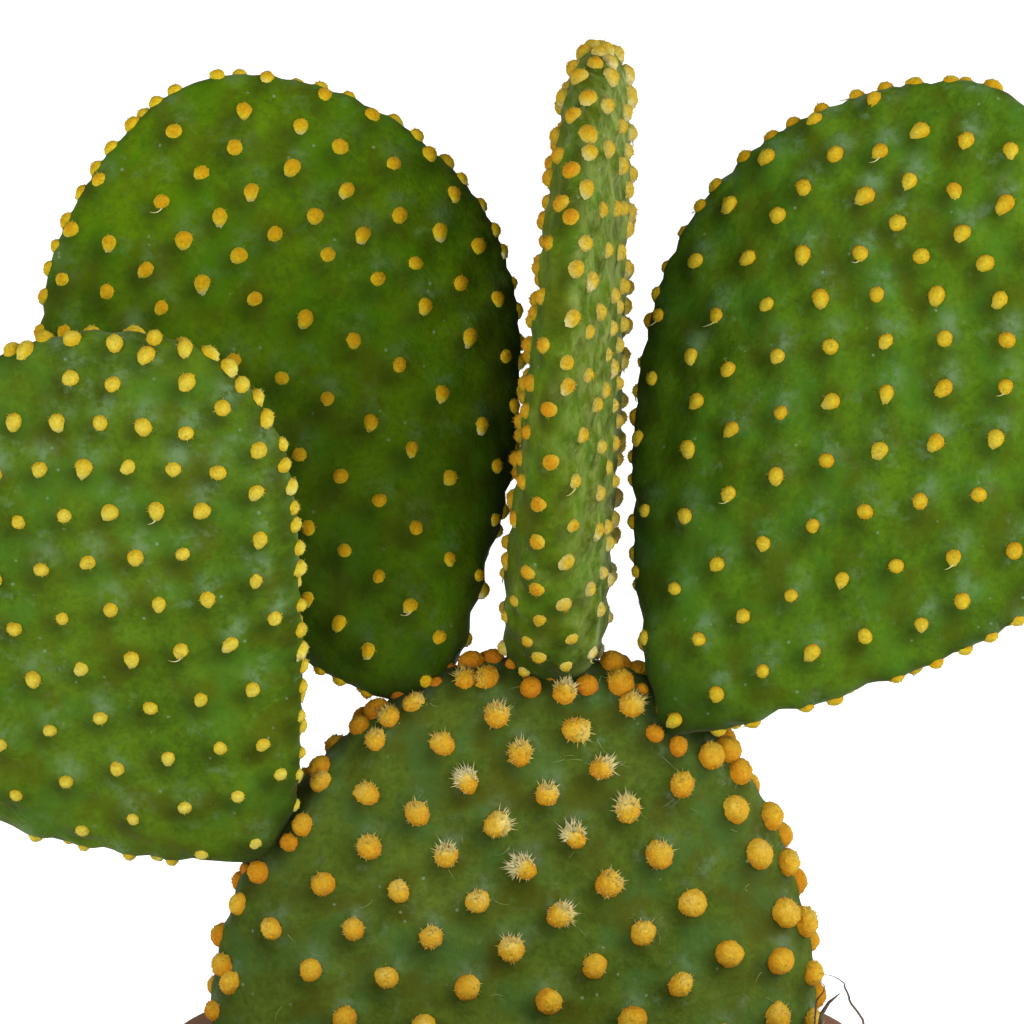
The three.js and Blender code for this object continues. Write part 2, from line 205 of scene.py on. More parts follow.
# Upper pads' tufts. Where two numbers go with a share, the second is what the full share adds.
# Tones run from 0, deep orange, to 1, pale straw: drawn from a range, more along the pad and at the rim
GROWTH = (0.93, 0.2)
YOUNG_SPREAD = (0.9, 1.08)
YOUNG_ROUGH = 0.03
DRY_TONE = ((0.47, 0.72), -0.24, -0.4)
YOUNG_TONES = for_pads(None, DRY_TONE, ((0.0, 0.2), 0.0, 0.4), DRY_TONE, ((-0.05, 0.2), 0.0, 0.45))
# Painted light on the middle pad's tufts: paler on its sunny side, and paler past these heights above and
# below
SUNNY_SIDE = 0.4
SUNNY_END = 0.02
PALE_ABOVE = 222
PALE_BELOW = 168
SCALE_SHARE = for_pads(0, 0.75, 0.65, 0.6, 0.25)
SCALE_PULL = (0.2, 0.6)
SCALE_TURN = (-0.1, 0.9)
SCALE_TONE = 1.5
SCALE_SHARP = 6
PLAIN_PULL = 0.08
YOUNG_BRISTLES = 30
BRISTLE_TILT = (0.2, 1.5)
BRISTLE_ROOT = 0.85
BRISTLE_REACH = (0.22, 0.52)
BRISTLE_WIDTH = 0.07
BRISTLE_TONES = (0.4, 0.8)

# The share of them with a fine thread
CURL_SHARE = for_pads(0, 0.17, 0.05, 0.04, 0.02)
CURL_STEPS = 9

# The lowest pad's tufts: worn to pale brushes round a centre, darker above, where they crowd, partly as
# painted shade, and darker on the rim's left as painted shade, and a little larger towards the right
FACE_NORMAL = 0.6
WORN_CENTRE = (0, 127)
WORN_REACH = (27, 26)
WORN_SPREAD = (0.5, 1.3)
WORN_STRAY = 0.4
WORN_SMALL = 0.4
# Tufts darker above this height and when small, crowded and partly painted shade, and on the rim's left,
# painted shade
HEART_ABOVE = 128
HEART_SPAN = 14
HEART_DARK = 0.12
SMALL_DARK = 0.28
LEFT_DARK = 0.16
SWELL_RIGHT = 0.1
SWELL_SPAN = 38
OLD_SPREAD = (0.9, 1.06)
OLD_SHRINK = (1, -0.22)
OLD_LEAN = 0.6
OLD_TONES = (0.3, 0.55)
OLD_RIM_TONE = 0.35
OLD_ROUGH = (0.03, 0.02)
OLD_PULL = 0.45
WORN_RIM_TONE = 0.1
WORN_TONE = (0.05, 0.85)
OLD_BRISTLES = 44

# Shed bristles lying on the lowest pad
HAIR_COUNT = 90
HAIR_STEPS = 5
HAIR_LIFT = 0.25
HAIR_ABOVE_SOIL = 3
HAIR_ANYWHERE = 0.15
THREAD_TAPER = 0.85

# Pot and soil, as in the part's source but for the lip, whose radius is 0.6 less
POT_HEIGHT = 90
POT_FOOT_RADIUS = 35
POT_LIP_RADIUS = 50.4
POT_BAND_HEIGHT = 18
POT_BAND_STEP = 2.4
POT_BAND_TAPER = 0.6
POT_BAND_RISE = 0.8
POT_WALL = 3
POT_FLOOR = 4.5
POT_ROUNDING = 1.3
POT_PITCH = 4
POT_SIDES = 128
WHEEL_DEPTH = 0.12
WHEEL_SIZE = 6
WHEEL_STRETCH = (0.4, 0.4, 1)
POT_SWELL = 0.1
POT_SWELL_SIZE = 25
SMOOTH_WITHIN = 8
SMOOTH_UNDER = 0.5
DRAIN_RADIUS = 3.5
DRAIN_RING_RADIUS = 19
DRAIN_COUNT = 4
DRAIN_SIDES = 32
DRAIN_PAST = 2
AXIS_RADIUS = 0.01
SOIL_TOP = 86.5
SOIL_MOUND = 1.6
SOIL_RINGS = 60
SOIL_SIDES = 160
SOIL_GAP = 0.2
SOIL_DEPTH = 12.0
SOIL_TAPER = 0.95
SOIL_LUMPS = ((0.9, 6), (0.6, 2.2), (0.3, 0.9))
SOIL_DROP = 0.2

# Lumps of peat and bark on the soil
CRUMB_COUNT = 900
CRUMB_DOME = (7, 4)
CRUMB_MARGIN = 2
CRUMB_ROUGH = 0.22
CRUMB_STRETCH = ((0.6, 1.5), (0.6, 1.3), (0.5, 0.9))
CRUMB_LIFT = 0.1

# Rootlets: three that stand at the pot's right, each with its width, and more lying on the soil
STANDING_FIBRES = (
    (
        [
            (50.8, -4, 91), (50.3, -4, 94.3), (48.4, -4, 96.7), (48.3, -4, 97.6),
            (47.6, -4, 99), (47.7, -4, 99.4), (46.3, -4, 100.4), (43.9, -4, 101),
        ],
        0.2,
    ),
    ([(43.6, -6, 90), (44.4, -6, 95.4), (45.4, -6, 97.1), (46.9, -6, 98.4)], 0.45),
    ([(43.4, -2, 90), (43.7, -2, 96.4), (44.8, -2, 97.8), (44.9, -2, 98.6), (44.2, -2, 99.5)], 0.16),
)
STANDING_STEPS = 16
LYING_COUNT = 46
LYING_MARGIN = 6
LYING_STEPS = 8

# Colours as the 0 to 255 numbers of a picture: a pad's dark and light green and its bloom, which also
# colours its painted highlights, then how much of that it has, and its tufts from their deepest shade to
# their tips
SKIN_COLOURS = for_pads(
    ((52, 71, 9), (77, 94, 25), (96, 116, 84), 0.5),
    ((52, 80, 4), (76, 107, 12), (100, 128, 88), 0.5),
    ((53, 82, 0), (79, 107, 0), (96, 122, 74), 0.36),
    ((54, 80, 4), (78, 104, 14), (100, 126, 86), 0.5),
    ((55, 80, 2), (83, 106, 8), (128, 143, 72), 0.42),
)
TUFT_COLOURS = for_pads(
    ((170, 104, 14), (184, 126, 17), (197, 156, 37), (207, 181, 90), (224, 214, 160)),
    ((164, 118, 10), (186, 142, 14), (191, 167, 36), (192, 173, 66), (218, 206, 148)),
    ((164, 118, 6), (193, 147, 12), (200, 172, 26), (200, 180, 66), (222, 210, 156)),
    ((174, 140, 24), (190, 159, 28), (197, 179, 58), (204, 191, 94), (222, 212, 160)),
    ((164, 109, 8), (182, 127, 12), (184, 151, 30), (186, 166, 70), (202, 190, 124)),
)
TUFT_STEPS = ((-0.35, 0.1), (0.1, 0.5), (0.45, 0.85), (0.8, 1.2))
WARM_TINT = (1.6, 0.9, 0.4)
COOL_TINT = (0.62, 1.0, 2.3)
# Painted shadow below each tuft: its tint and how much, then how much painted highlight and bloom goes
# above the tufts
FOOT_TINT = (0.5, 0.32, 0.3)
FOOT_AMOUNT = 0.65
CROWN_AMOUNT = 1.7
# The painted shade's colour, as a share of the dark green, and how much of it goes on
SHADE_TINT = 0.28
SHADE_AMOUNT = 0.8

# Camera: the photo's own scale is 7 pixels to the millimetre at the lowest pad
IMAGE_SIDE = 1024
PIXELS_PER_MM = 7
PHOTO_LIP_ROW = 1053
CAMERA_SHIFT = -0.14
CAMERA_DISTANCE = 900
CAMERA_ELEVATION = 8
SENSOR_MM = 36
CLIP_METRES = (0.01, 50)

# Lamps: the bearing from the camera's side to the right, the height angle, the size and the power
LAMPS = {
    "right": (66, 20, 420, 5.6),
    "front": (28, 12, 500, 1.8),
    "left": (-50, 12, 400, 3.6),
}
LAMP_DISTANCE = 900
LAMP_AIM = (0, 0, 165)
SKY_STRENGTH = 0.42
FLOOR_REACH = 6000
FLOOR_GREY = 0.9
FLOOR_GLOW = 0.9
FLOOR_GLOW_METRES = (0.15, 0.5)

# Corners of a thin thread's section, and directions that no thread or bristle follows
THIRDS = (0, 2.094, 4.189)
BRISTLE_ASIDE = (0.3, 0.5, 0.8)
THREAD_ASIDE = (0.35, 0.8, 0.48)

# Level skin, where the way down it is shorter than this, then the range of random spins and waves
LEVEL_SKIN = 0.05
WHOLE_TURN = 6.28
WAVE_START = (0, 6)


def rising(pair, share):
    """A value that starts at the first of a pair and gains the second over a full share."""
    return pair[0] + pair[1] * share


def turned(vector, axis, degrees):
    """vector turned about a unit axis."""
    a = radians(degrees)
    along = axis * (axis @ vector) * (1 - cos(a))
    return vector * cos(a) + np.cross(axis, vector) * sin(a) + along


# The pads' shape
def directions(pad):
    """The unit directions along a pad's axis, across it and out of its front face."""
    a = radians(pad["turn"])
    axis = np.array([sin(a), 0, cos(a)])
    across = turned(np.array([cos(a), 0, -sin(a)]), axis, pad["roll"])
    x = np.array([1.0, 0, 0])
    axis = turned(axis, x, -pad["lean"])
    across = turned(across, x, -pad["lean"])
    return axis, across, -np.cross(axis, across)


def half_width(pad, t):
    s = np.clip(t, TINY, 1 - TINY)
    return pad["width"] / 2 * np.sin(np.pi * s ** pad["early"]) ** pad["full"]


def half_thickness(pad, t):
    full = pad["thick"] / 2 * (1 + pad["slim"] * (0.5 - t))
    return full * np.sqrt(np.clip(1 - np.abs(2 * t - 1) ** pad["ends"], 0, 1))


def middle_line(pad, t):
    return pad["bend"] * np.sin(np.pi * t)


def spine_points(pad, t, across_too):
    """Points at shares t of a pad's length, each so far across from its axis."""
    axis, across, _ = directions(pad)
    along = (t * pad["length"])[..., None] * axis
    return np.array(pad["joint"], float) + along + across_too[..., None] * across


def skin_points(pad, t, angle):
    """Points of a pad's skin at shares t of its length and angles round it."""
    t = np.asarray(t, float)
    c, s = np.cos(angle), np.sin(angle)
    side = np.sign(c) * np.abs(c) ** (2 / FACE_FLATNESS)
    u = middle_line(pad, t) + side * half_width(pad, t)
    z = s * half_thickness(pad, t)
    return spine_points(pad, t, u) + z[..., None] * directions(pad)[2]


def skin_normals(pad, t, angle):
    """The outward directions there."""
    d = NORMAL_STEP
    t = np.asarray(t, float)
    along = skin_points(pad, np.minimum(t + d, 1), angle) - skin_points(pad, np.maximum(t - d, 0), angle)
    across = skin_points(pad, t, angle + d) - skin_points(pad, t, angle - d)
    n = np.cross(across, along)
    n /= np.maximum(np.linalg.norm(n, axis=-1, keepdims=True), 1e-12)
    centre = spine_points(pad, t, middle_line(pad, t))
    inward = np.sum(n * (skin_points(pad, t, angle) - centre), axis=-1) < 0
    n[inward] *= -1
    return n


def normal_at(pad, t, angle):
    """The outward direction at one place."""
    return skin_normals(pad, np.array([t]), np.array([angle]))[0]


def skin_sample(pad, first, last, rows, turns):
    """Points all round a pad's skin between two shares of its length."""
    t, angle = np.meshgrid(np.linspace(first, last, rows), np.linspace(0, 2 * np.pi, turns), indexing="ij")
    return skin_points(pad, t.ravel(), angle.ravel())


def is_near(pad, point, distance):
    """Whether a point is within a distance of a pad."""
    axis, across, out = directions(pad)
    v = point - np.array(pad["joint"])
    t = v @ axis / pad["length"]
    if t < -distance / pad["length"] or t > 1 + distance / pad["length"]:
        return False
    s = min(max(t, 0.02), 0.98)
    side = abs(v @ across - middle_line(pad, s)) / (half_width(pad, s) + distance)
    depth = abs(v @ out) / (half_thickness(pad, s) + distance)
    return side**FACE_FLATNESS + depth**2 < 1


# Where the tufts stand
def rim_places(name):
    """(share of the length, angle) of the tufts up one side of the rim, over the tip and down the other."""
    pad = PADS[name]
    angles, pitch = RIM_ROWS[name]
    draw = np.random.default_rng(RIM_SEED)
    stray, walked, placed = 0.0, 0.0, 0
    last = skin_points(pad, 0.0, 0.0)
    for i in range(1, 2 * RIM_STEPS):
        up = i < RIM_STEPS
        t = i / RIM_STEPS if up else (2 * RIM_STEPS - i) / RIM_STEPS
        here = skin_points(pad, t, 0.0 if up else pi)
        walked += np.linalg.norm(here - last)
        last = here
        if walked < (placed + 0.5) * pitch / len(angles) + stray:
            continue
        offset = radians(angles[placed % len(angles)] * draw.uniform(*RIM_SPREAD))
        offset += radians(RIM_SWAY[name] * draw.uniform(-1, 1))
        placed += 1
        stray = draw.uniform(-RIM_STRAY, RIM_STRAY)
        yield min(t, RIM_LAST), offset if up else pi - offset


def face_places(name):
    """The same for the bent grid on the front face and, turned over, on the back."""
    pad = PADS[name]
    start, step, row, step_bend, twist, row_bend = np.array(FACE_ROWS[name], float)
    first = step[0] * row[1] - step[1] * row[0]
    for face in (1, -1):
        for i in range(-MOST_STEPS, MOST_STEPS + 1):
            for j in range(-MOST_STEPS, MOST_STEPS + 1):
                a = step + 2 * i * step_bend + j * twist
                b = row + i * twist + 2 * j * row_bend
                if (a[0] * b[1] - a[1] * b[0]) / first < FOLD_LIMIT:
                    continue
                bent = start + i * step + j * row + i * i * step_bend + i * j * twist + j * j * row_bend
                across, along = bent
                t = along / pad["length"]
                if not FACE_FIRST <= t <= FACE_LAST:
                    continue
                side = (across - middle_line(pad, t)) / half_width(pad, t)
                if abs(side) > FACE_EDGE:
                    continue
                yield t, face * face_angle(side)


def face_angle(side):
    """The angle of a face's place at a signed share of the half width."""
    return acos(copysign(abs(side) ** (FACE_FLATNESS / 2), side))


def fill_places():
    """Places all over both faces, for where the grid leaves them bare."""
    for face in (1, -1):
        for i in range(1, FILL_ALONG):
            for j in range(FILL_ACROSS + 1):
                yield i / FILL_ALONG, face * face_angle(FACE_EDGE * (2 * j / FILL_ACROSS - 1))


def clear_size(pad_name, point, normal):
    """The largest size at which a tuft there stays clear of the other pads, or 0."""
    others = [PADS[n] for n in PADS if n != pad_name]
    for size in TUFT_SIZES:
        radius = TUFT_RADIUS[pad_name] * size
        reach = radius + TUFT_CLEAR
        top = point + normal * radius
        if not any(is_near(other, spot, reach) for other in others for spot in (point, top)):
            return size
    return 0


def point_tree(points):
    """A search tree of points."""
    tree = KDTree(len(points))
    for k, point in enumerate(points):
        tree.insert(point, k)
    tree.balance()
    return tree


def joint_places(points_kept):
    """Tufts of the lowest pad crowded round the feet of the upper pads: (points, normals, sizes)."""
    base = PADS["pad_base"]
    feet = []
    for name in PADS:
        if name != "pad_base":
            feet += [p for p in skin_sample(PADS[name], 0, 0.5, 60, 120) if not is_near(base, p, 0)]
    tree = point_tree(feet)
    draw = np.random.default_rng(JOINT_SEED)
    shares = np.linspace(JOINT_FIRST, RIM_LAST, JOINT_STEPS)
    turns = np.linspace(0, 2 * np.pi, JOINT_TURNS, endpoint=False)
    kept, found = list(points_kept), []
    for place in draw.permutation(JOINT_STEPS * JOINT_TURNS):
        share, turn = shares[place // JOINT_TURNS], turns[place % JOINT_TURNS]
        point = skin_points(base, share, turn)
        room = tree.find(point)[2]
        if not JOINT_NEAR < room < JOINT_FAR or point[2] < JOINT_LOWEST:
            continue
        if abs(normal_at(base, share, turn)[1]) > JOINT_FACE and room > JOINT_FACE_FAR:
            continue
        if min(np.linalg.norm(point - other) for other in kept) < JOINT_APART:
            continue
        kept.append(point)
        if draw.random() < JOINT_SHARE:
            found.append((share, turn, min(1, (room - JOINT_GAP) / TUFT_RADIUS["pad_base"])))
    share, turn, size = np.array(found).T
    return skin_points(base, share, turn), skin_normals(base, share, turn), size


def is_bare(name, t, angle, draw):
    """Whether a place on the rim goes without a tuft: many do where an upper pad's rim faces down."""
    if name in ("pad_base", "pad_middle"):
        return False
    return normal_at(PADS[name], t, angle)[2] < BARE_BELOW and draw.random() < BARE_SHARE


def tuft_places(name):
    """Where a pad's tufts stand: (points, normals, sizes), clear of the other pads and the soil."""
    pad = PADS[name]
    draw = np.random.default_rng(BARE_SEED)
    kept, points = [], np.empty((0, 3))
    rows = (
        (rim_places(name), RIM_APART, True),
        (face_places(name), APART[name], False),
        (fill_places(), FILL_APART[name], False),
    )
    for places, apart, on_rim in rows:
        for t, angle in places:
            if on_rim and is_bare(name, t, angle, draw):
                continue
            point = skin_points(pad, t, angle)
            if len(points) == 0 or np.linalg.norm(points - point, axis=1).min() >= apart:
                kept.append((t, angle))
                points = np.vstack([points, point])
    normals = skin_normals(pad, *np.array(kept).T)
    lowest = SOIL_TOP + SOIL_MOUND if name == "pad_base" else 0
    sizes = [clear_size(name, p, n) if p[2] > lowest else 0 for p, n in zip(points, normals)]
    sizes = np.array(sizes)
    keep = sizes > 0
    tufts = points[keep], normals[keep], sizes[keep]
    if name != "pad_base":
        return tufts
    return tuple(np.concatenate(pair) for pair in zip(tufts, joint_places(tufts[0])))


# Meshes
def mesh_object(name, verts, faces, smooth=True, **attributes):
    """An object from vertices in millimetres and faces, with float attributes on its points."""
    mesh = bpy.data.meshes.new(name)
    verts = np.asarray(verts, np.float32) * MM
    faces = np.asarray(faces, np.int32)
    corners = faces.shape[1]
    mesh.vertices.add(len(verts))
    mesh.vertices.foreach_set("co", verts.ravel())
    mesh.loops.add(faces.size)
    mesh.loops.foreach_set("vertex_index", faces.ravel())
    mesh.polygons.add(len(faces))
    mesh.polygons.foreach_set("loop_start", np.arange(0, faces.size, corners, dtype=np.int32))
    mesh.update(calc_edges=True)
    mesh.polygons.foreach_set("use_smooth", np.full(len(faces), smooth))
    for key, values in attributes.items():
        layer = mesh.attributes.new(key, "FLOAT", "POINT")
        layer.data.foreach_set("value", np.asarray(values, np.float32))
    mesh.validate()
    made = bpy.data.objects.new(name, mesh)
    bpy.context.scene.collection.objects.link(made)
    return made


class Gather:
    """Collects triangles, with one float value for each vertex, to make one object of them."""

    def __init__(self):
        self.verts, self.faces, self.tone, self.count = [], [], [], 0

    def add(self, verts, faces, tone):
        self.verts.append(verts)
        self.faces.append(np.asarray(faces) + self.count)
        self.tone.append(np.broadcast_to(tone, len(verts)))
        self.count += len(verts)

    def object(self, name):
        verts, faces, tone = (np.concatenate(rows) for rows in (self.verts, self.faces, self.tone))
        return mesh_object(name, verts, faces, tone=tone)


def ring_faces(rings, sides):
    """Two triangles for each side between rings of vertices that follow one another."""
    first = np.arange(sides)
    second = (first + 1) % sides
    faces = []
    for ring in range(rings - 1):
        a, b = ring * sides, (ring + 1) * sides
        lower = np.stack([a + first, a + second, b + second], 1)
        upper = np.stack([a + first, b + second, b + first], 1)
        faces.append(np.stack([lower, upper], 1).reshape(-1, 3))
    return np.concatenate(faces)


def closed_faces(rings, sides):
    """The same, with both ends closed on two more vertices, the first end's and then the last end's."""
    first = np.arange(sides)
    second = (first + 1) % sides
    top, ends = (rings - 1) * sides, rings * sides
    start = np.stack([second, first, np.full(sides, ends)], 1)
    end = np.stack([top + first, top + second, np.full(sides, ends + 1)], 1)
    return np.concatenate([ring_faces(rings, sides), start, end])


def outward(verts, faces):
    """faces, turned over if together they face inwards."""
    a, b, c = (verts[faces[:, k]] for k in range(3))
    return faces if np.sum(a * np.cross(b, c)) > 0 else faces[:, ::-1]


def lumps(points, size, seed):
    """Smooth noise from -1 to 1 at points in millimetres."""
    shift = Vector((seed * 13.7, seed * 5.1, seed * 9.3))
    return np.array([noise.noise(Vector(p) / size + shift) for p in points])


def layered_lumps(points, layers, seed):
    """Lumps of several heights and sizes on one another, each with the next seed."""
    return sum(height * lumps(points, size, seed + k) for k, (height, size) in enumerate(layers))


# The pads' skin
def closest(points, places):
    """The distance from each point to the nearest of the places."""
    nearest = np.full(len(points), 1e9)
    for place in places:
        nearest = np.minimum(nearest, np.linalg.norm(points - place, axis=1))
    return nearest


def bell(distance, radius):
    """1 at no distance, fading over about a radius."""
    return np.exp(-((distance / radius) ** 2))


def basis(normal):
    """Two directions across a normal: to the viewer's right and down the skin."""
    down = np.array([0, 0, -1.0]) + normal * normal[2]
    if np.linalg.norm(down) < LEVEL_SKIN:
        down = np.array([0, -1.0, 0])
    down /= np.linalg.norm(down)
    return np.cross(normal, down), down


def beside(places, normals, shift):
    """Places moved along the skin by shift, to the right of it and down it."""
    moved = []
    for place, normal in zip(places, normals):
        right, down = basis(normal)
        moved.append(place + shift[0] * right + shift[1] * down)
    return np.array(moved)


def closeness(name, points):
    """How close each point is to another pad, from 0 to 1, which darkens the skin there as painted shade.
    """
    shade = np.zeros(len(points))
    for other in PADS:
        if other == name:
            continue
        reach = CREVICE_REACH if (name, other) == CREVICE else SHADE_REACH[name]
        tree = point_tree(skin_sample(PADS[other], 0.01, 0.99, 50, 80))
        distance = np.array([tree.find(point)[2] for point in points])
        shade = np.maximum(shade, bell(distance, reach))
    return shade


def skin_marks(name, t, normals, points, crown):
    """The skin's bloom with painted highlight, and its painted shade, from 0 to 1, as the attributes crown
    and shade.
    """
    # Painted shade beside the other pads
    shade = closeness(name, points)
    if name == "pad_middle":
        # Painted light on the middle pad's sunny right side and towards its tip, with no painted shade on
        # the sunny side
        sunny = np.clip(normals[:, 0], 0, 1)
        tip = np.clip((t - TIP_START) / (1 - TIP_START), 0, 1)
        crown = MIDDLE_CROWN * crown + SUNNY_SIDE_PAINTED_LIGHT * sunny**2 + TIP_PAINTED_LIGHT * tip
        shade = shade * (1 - sunny)
    # Painted shade on the lowest pad's left side and on the right pad's lower part
    if name in PAINTED_SHADE_SLOPES:
        way, start, span, most = PAINTED_SHADE_SLOPES[name]
        shade = np.maximum(shade, most * np.clip((points @ way - start) / span, 0, 1))
    return crown, shade


def pad_skin(name, tufts, tuft_normals):
    """The skin of a pad, with a mound under each tuft and shallow hollows between them."""
    pad, number = PADS[name], PAD_NUMBERS[name]
    low = (SOCKET_FOOT - pad["joint"][2]) / pad["length"] if name == "pad_base" else 0.0
    rings = (1 - np.cos(np.pi * np.arange(1, SKIN_RINGS) / SKIN_RINGS)) / 2
    rings = low + (1 - low) * rings
    sides = 2 * np.pi * np.arange(SKIN_SIDES) / SKIN_SIDES
    t, angle = (grid.ravel() for grid in np.meshgrid(rings, sides, indexing="ij"))
    points, normals = skin_points(pad, t, angle), skin_normals(pad, t, angle)
    nearest = closest(points, tufts)
    draw = np.random.default_rng(SEED + BLOOM_SEED_STEP * number)
    # Painted highlight with bloom at the upper right of most tufts' mounds
    with_highlight_bloom = draw.random(len(tufts)) < HIGHLIGHT_BLOOM_SHARE
    highlight_bloom_places = beside(tufts[with_highlight_bloom], tuft_normals[with_highlight_bloom], CROWN_SHIFT)
    crown = bell(closest(points, highlight_bloom_places), CROWN_RADIUS)
    # Painted shadow at the lower left of each tuft's mound
    foot = bell(closest(points, beside(tufts, tuft_normals, FOOT_SHIFT)), FOOT_RADIUS)
    mound = MOUND_HEIGHT[name] * bell(nearest, MOUND_RADIUS[name])
    hollow = HOLLOW_DEPTH * bell(nearest, HOLLOW_RADIUS) - HOLLOW_DEPTH
    rough = layered_lumps(points, SKIN_LUMPS, SEED + number)
    fade = np.clip(t / FOOT_FADE, 0, 1) * np.clip((1 - t) / TIP_FADE, 0, 1)
    points = points + normals * ((mound + hollow + rough) * fade)[:, None]
    ends = np.array([low, 1.0])
    verts = np.vstack([points, spine_points(pad, ends, middle_line(pad, ends))])
    faces = outward(verts, closed_faces(len(rings), SKIN_SIDES))
    crown, shade = skin_marks(name, t, normals, points, crown)
    crown, foot, shade = (np.append(values, [0, 0]) for values in (crown, foot, shade))
    return mesh_object(name + "_skin", verts, faces, crown=crown, foot=foot, shade=shade)


# Tufts
def dome_template(sides, rings):
    """A unit button: polar angle from the top, angle round, and its triangles."""
    polar, around = [0.0], [0.0]
    for ring in range(1, rings + 1):
        for side in range(sides):
            polar.append(radians(DOME_REACH) * ring / rings)
            around.append(2 * pi * (side + 0.5 * (ring % 2)) / sides)
    faces = [(0, 1 + s, 1 + (s + 1) % sides) for s in range(sides)]
    for ring in range(rings - 1):
        a, b = 1 + ring * sides, 1 + (ring + 1) * sides
        for s in range(sides):
            n = (s + 1) % sides
            if ring % 2 == 0:
                faces += [(a + s, b + s, a + n), (a + n, b + s, b + n)]
            else:
                faces += [(a + s, b + s, b + n), (a + s, b + n, a + n)]
    last = 1 + (rings - 1) * sides
    faces += [(last, last + s + 1, last + s) for s in range(1, sides - 1)]
    return np.array(polar), np.array(around), np.array(faces)


def outwards(right, down, normal, turn, tilt):
    """A direction tilted away from a normal, turned from the right towards down."""
    return sin(tilt) * (cos(turn) * right + sin(turn) * down) + cos(tilt) * normal


def spike(gather, root, tip, width, tones):
    """A three-sided bristle, with a tone at its root and one at its tip."""
    way = tip - root
    side = np.cross(way, BRISTLE_ASIDE)
    side /= max(np.linalg.norm(side), TINY)
    other = np.cross(way, side)
    other /= max(np.linalg.norm(other), TINY)
    ring = [root + width * (cos(a) * side + sin(a) * other) for a in THIRDS]
    faces = [(0, 1, 3), (1, 2, 3), (2, 0, 3), (0, 2, 1)]
    gather.add(np.array(ring + [tip]), faces, np.array([tones[0]] * 3 + [tones[1]]))


def thread(gather, path, width, tone):
    """A fine hair along a path, three-sided and tapering to a point."""
    path = np.asarray(path)
    way = np.gradient(path, axis=0)
    way /= np.maximum(np.linalg.norm(way, axis=1, keepdims=True), TINY)
    side = np.cross(way, THREAD_ASIDE)
    side /= np.maximum(np.linalg.norm(side, axis=1, keepdims=True), TINY)
    other = np.cross(way, side)
    count = len(path)
    taper = (width * (1 - THREAD_TAPER * np.linspace(0, 1, count) ** 2))[:, None]
    rings = [path + taper * (cos(a) * side + sin(a) * other) for a in THIRDS]
    verts = np.stack(rings, 1).reshape(-1, 3)
    last = 3 * (count - 1)
    ends = [(2, 1, 0), (last, last + 1, last + 2)]
    gather.add(verts, np.concatenate([ring_faces(count, 3), ends]), tone)


def button(gather, template, place, normal, radius, draw, rough, tone, pull=0.0, toward=0.0, sharp=1):
    """One tuft's body, an uneven ball half sunk in the skin, pulled out towards one side."""
    polar, around, faces = template
    right, down = basis(normal)
    fuzz = 1 + rough * draw.normal(size=len(polar))
    drawn = 1 + pull * np.clip(np.cos(around - toward), 0, 1) ** sharp * fuzz**3
    oval = 1 + DOME_OVAL * np.sin(2 * around + draw.uniform(*WAVE_START))
    r = radius * np.sin(polar) * fuzz * drawn * oval
    z = radius * draw.uniform(*DOME_HEIGHT) * np.cos(polar) * fuzz
    level = place + (r * np.cos(around))[:, None] * right + (r * np.sin(around))[:, None] * down
    gather.add(level + z[:, None] * normal, faces, tone + TONE_GRAIN * draw.normal(size=len(polar)))


def curled(gather, place, normal, right, down, radius, draw):
    """A thin pale thread that leaves a tuft downwards and bends away sideways, mostly to the left."""
    length = draw.uniform(1.4, 2.6)
    side = -right if draw.random() < 0.85 else right
    start, end = draw.uniform(0.4, 1.0), draw.uniform(1.2, 2.3)
    path, here = [], place + 0.9 * radius * down + 0.5 * normal
    for heading in np.linspace(start, end, CURL_STEPS):
        path.append(here)
        here = here + (down * cos(heading) + side * sin(heading)) * length / CURL_STEPS
    thread(gather, path, width=0.12, tone=1.15)


def sun_on(name, place, normal):
    """How much paler the middle pad's tufts are there: painted light on its sunny side, and paler towards
    its ends.
    """
    if name != "pad_middle":
        return 0
    past_end = max(place[2] - PALE_ABOVE, PALE_BELOW - place[2], 0)
    return SUNNY_SIDE * max(normal[0], 0) + SUNNY_END * past_end


def young_tufts(name, places, normals, sizes):
    """The small yellow buttons of an upper pad, most drawn out below into a pale point."""
    draw = np.random.default_rng(SEED + YOUNG_SEED_STEP * PAD_NUMBERS[name])
    gather = Gather()
    pad = PADS[name]
    axis = directions(pad)[0]
    template = dome_template(*YOUNG_DOME)
    polar, around, _ = template
    tones, along, at_rim = YOUNG_TONES[name]
    for place, normal, size in zip(places, normals, sizes):
        right, down = basis(normal)
        t = (place - np.array(pad["joint"])) @ axis / pad["length"]
        radius = TUFT_RADIUS[name] * size * draw.uniform(*YOUNG_SPREAD) * rising(GROWTH, t)
        toward = pi / 2 + draw.uniform(*SCALE_TURN)
        pull = draw.uniform(*SCALE_PULL) if draw.random() < SCALE_SHARE[name] else PLAIN_PULL
        point = np.clip(np.cos(around - toward), 0, 1) ** 3 * np.sin(polar) ** 2
        # sun_on adds painted light on the middle pad's sunny side
        ball = draw.uniform(*tones) + along * t + sun_on(name, place, normal) + at_rim * np.sin(polar) ** 3
        tone = ball + SCALE_TONE * pull * point
        button(gather, template, place, normal, radius, draw, YOUNG_ROUGH, tone, pull, toward, SCALE_SHARP)
        for _ in range(YOUNG_BRISTLES):
            turn, tilt = draw.uniform(0, 2 * pi), draw.uniform(*BRISTLE_TILT)
            way = outwards(right, down, normal, turn, tilt)
            root = place + way * radius * BRISTLE_ROOT
            tip = root + way * radius * draw.uniform(*BRISTLE_REACH)
            spike(gather, root, tip, BRISTLE_WIDTH, BRISTLE_TONES)
        if draw.random() < CURL_SHARE[name]:
            curled(gather, place, normal, right, down, radius, draw)
    return gather.object(name + "_tufts")


